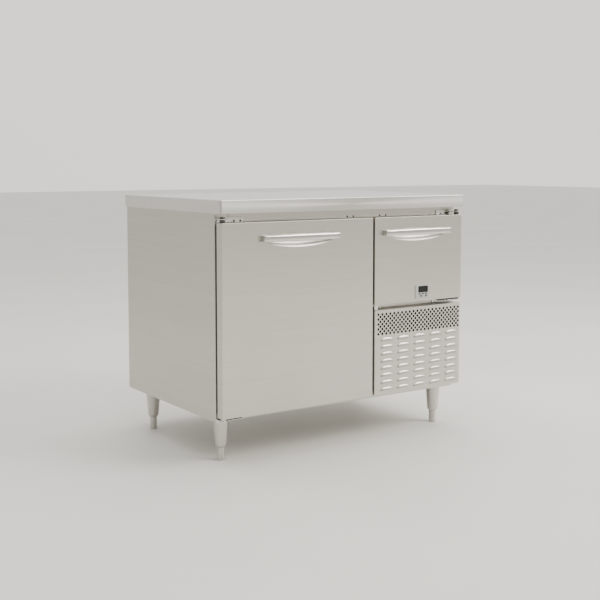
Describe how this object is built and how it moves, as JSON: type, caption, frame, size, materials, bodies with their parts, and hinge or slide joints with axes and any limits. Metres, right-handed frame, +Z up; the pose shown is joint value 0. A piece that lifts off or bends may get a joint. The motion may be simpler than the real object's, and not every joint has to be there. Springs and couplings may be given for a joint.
{
  "type": "under counter fridge",
  "caption": "Stainless steel under counter fridge with a tall door, a small door with a controller, a louvred cooling unit panel and bullet legs.",
  "frame": {"origin": "on the floor under the middle of the overall box, handles included", "axes": "+X to the right of a person in front, -Y out of the front, +Z up"},
  "size_m": [1.02, 0.718, 0.85],
  "materials": {
    "stainless_brushed": "satin brushed stainless steel with a fine horizontal grain",
    "stainless_polished": "smooth stainless steel, brighter than the panels",
    "liner_steel": "bright rolled stainless steel inner lining",
    "insulating_foam": "rigid foam, matt",
    "gasket_rubber": "matt black door seal",
    "black_plastic": "black moulded plastic",
    "grey_plastic": "light grey moulded plastic",
    "display_lens": "black glossy window",
    "fin_aluminium": "mill finish fins",
    "black_paint": "satin black paint",
    "galvanised_steel": "dull galvanised sheet"
  },
  "bodies": {
    "cabinet": {"worktop": "stainless_brushed", "left_side_panel": "stainless_brushed", "right_side_panel": "stainless_brushed", "back_panel": "stainless_brushed", "base_panel": "stainless_brushed", "top_rail": "stainless_brushed", "bottom_rail": "stainless_brushed", "mullion": "stainless_brushed", "cross_rail": "stainless_brushed", "louvre_panel": "stainless_brushed", "front_left_leg": "stainless_brushed", "front_right_leg": "stainless_brushed", "back_left_leg": "stainless_brushed", "back_right_leg": "stainless_brushed", "lower_shelf": "stainless_polished", "upper_shelf": "stainless_polished", "main_door_top_bracket": "stainless_polished", "main_door_bottom_bracket": "stainless_polished", "upper_door_top_bracket": "stainless_polished", "upper_door_bottom_bracket": "stainless_polished", "main_door_top_pin": "stainless_polished", "upper_door_top_pin": "stainless_polished", "main_liner": "liner_steel", "upper_liner": "liner_steel", "evaporator_cover": "liner_steel", "worktop_core": "insulating_foam", "body_insulation": "insulating_foam", "evaporation_pan": "black_plastic", "power_cord_gland": "black_plastic", "electrical_box": "grey_plastic", "evaporator_coil": "fin_aluminium", "condenser_coil": "black_paint", "compressor": "black_paint", "condenser_shroud": "black_paint", "condenser_fan_motor": "black_paint", "evaporator_fan_motor": "black_paint", "machine_tray": "galvanised_steel"},
    "main_door": {"main_door_skin": "stainless_brushed", "main_door_liner": "liner_steel", "main_door_insulation": "insulating_foam", "main_door_gasket": "gasket_rubber", "main_door_handle": "stainless_polished"},
    "upper_door": {"upper_door_skin": "stainless_brushed", "upper_door_liner": "liner_steel", "upper_door_insulation": "insulating_foam", "upper_door_gasket": "gasket_rubber", "upper_door_handle": "stainless_polished", "controller_bezel": "grey_plastic", "controller_display": "display_lens"},
    "condenser_fan": {"condenser_fan": "black_plastic"},
    "evaporator_fan": {"evaporator_fan": "black_plastic"},
    "key_1": {"controller_key_1": "black_plastic"},
    "key_2": {"controller_key_2": "black_plastic"},
    "key_3": {"controller_key_3": "black_plastic"},
    "key_4": {"controller_key_4": "black_plastic"},
    "key_5": {"controller_key_5": "black_plastic"},
    "front_left_foot": {"front_left_foot": "stainless_brushed"},
    "front_right_foot": {"front_right_foot": "stainless_brushed"},
    "back_left_foot": {"back_left_foot": "stainless_brushed"},
    "back_right_foot": {"back_right_foot": "stainless_brushed"}
  },
  "joints": [
    {"name": "main_door_hinge", "type": "hinge", "parent": "cabinet", "child": "main_door", "pos_m": [-0.491, -0.319, 0.467], "axis": [0, 0, -1], "range_deg": [0, 105]},
    {"name": "upper_door_hinge", "type": "hinge", "parent": "cabinet", "child": "upper_door", "pos_m": [0.491, -0.319, 0.626], "axis": [0, 0, 1], "range_deg": [0, 105]},
    {"name": "condenser_fan_spin", "type": "hinge", "parent": "cabinet", "child": "condenser_fan", "pos_m": [0.32, -0.1687, 0.276], "axis": [0, 1, 0], "continuous": true},
    {"name": "evaporator_fan_spin", "type": "hinge", "parent": "cabinet", "child": "evaporator_fan", "pos_m": [0.295, 0.1885, 0.626], "axis": [0, 1, 0], "continuous": true},
    {"name": "key_1_press", "type": "slide", "parent": "upper_door", "child": "key_1", "axis": [0, 1, 0], "range_m": [0, 0.0008], "stiffness_N_per_m": 400},
    {"name": "key_2_press", "type": "slide", "parent": "upper_door", "child": "key_2", "axis": [0, 1, 0], "range_m": [0, 0.0008], "stiffness_N_per_m": 400},
    {"name": "key_3_press", "type": "slide", "parent": "upper_door", "child": "key_3", "axis": [0, 1, 0], "range_m": [0, 0.0008], "stiffness_N_per_m": 400},
    {"name": "key_4_press", "type": "slide", "parent": "upper_door", "child": "key_4", "axis": [0, 1, 0], "range_m": [0, 0.0008], "stiffness_N_per_m": 400},
    {"name": "key_5_press", "type": "slide", "parent": "upper_door", "child": "key_5", "axis": [0, 1, 0], "range_m": [0, 0.0008], "stiffness_N_per_m": 400},
    {"name": "front_left_foot_screw", "type": "slide", "parent": "cabinet", "child": "front_left_foot", "axis": [0, 0, -1], "range_m": [0, 0.03]},
    {"name": "front_right_foot_screw", "type": "slide", "parent": "cabinet", "child": "front_right_foot", "axis": [0, 0, -1], "range_m": [0, 0.03]},
    {"name": "back_left_foot_screw", "type": "slide", "parent": "cabinet", "child": "back_left_foot", "axis": [0, 0, -1], "range_m": [0, 0.03]},
    {"name": "back_right_foot_screw", "type": "slide", "parent": "cabinet", "child": "back_right_foot", "axis": [0, 0, -1], "range_m": [0, 0.03]}
  ]
}
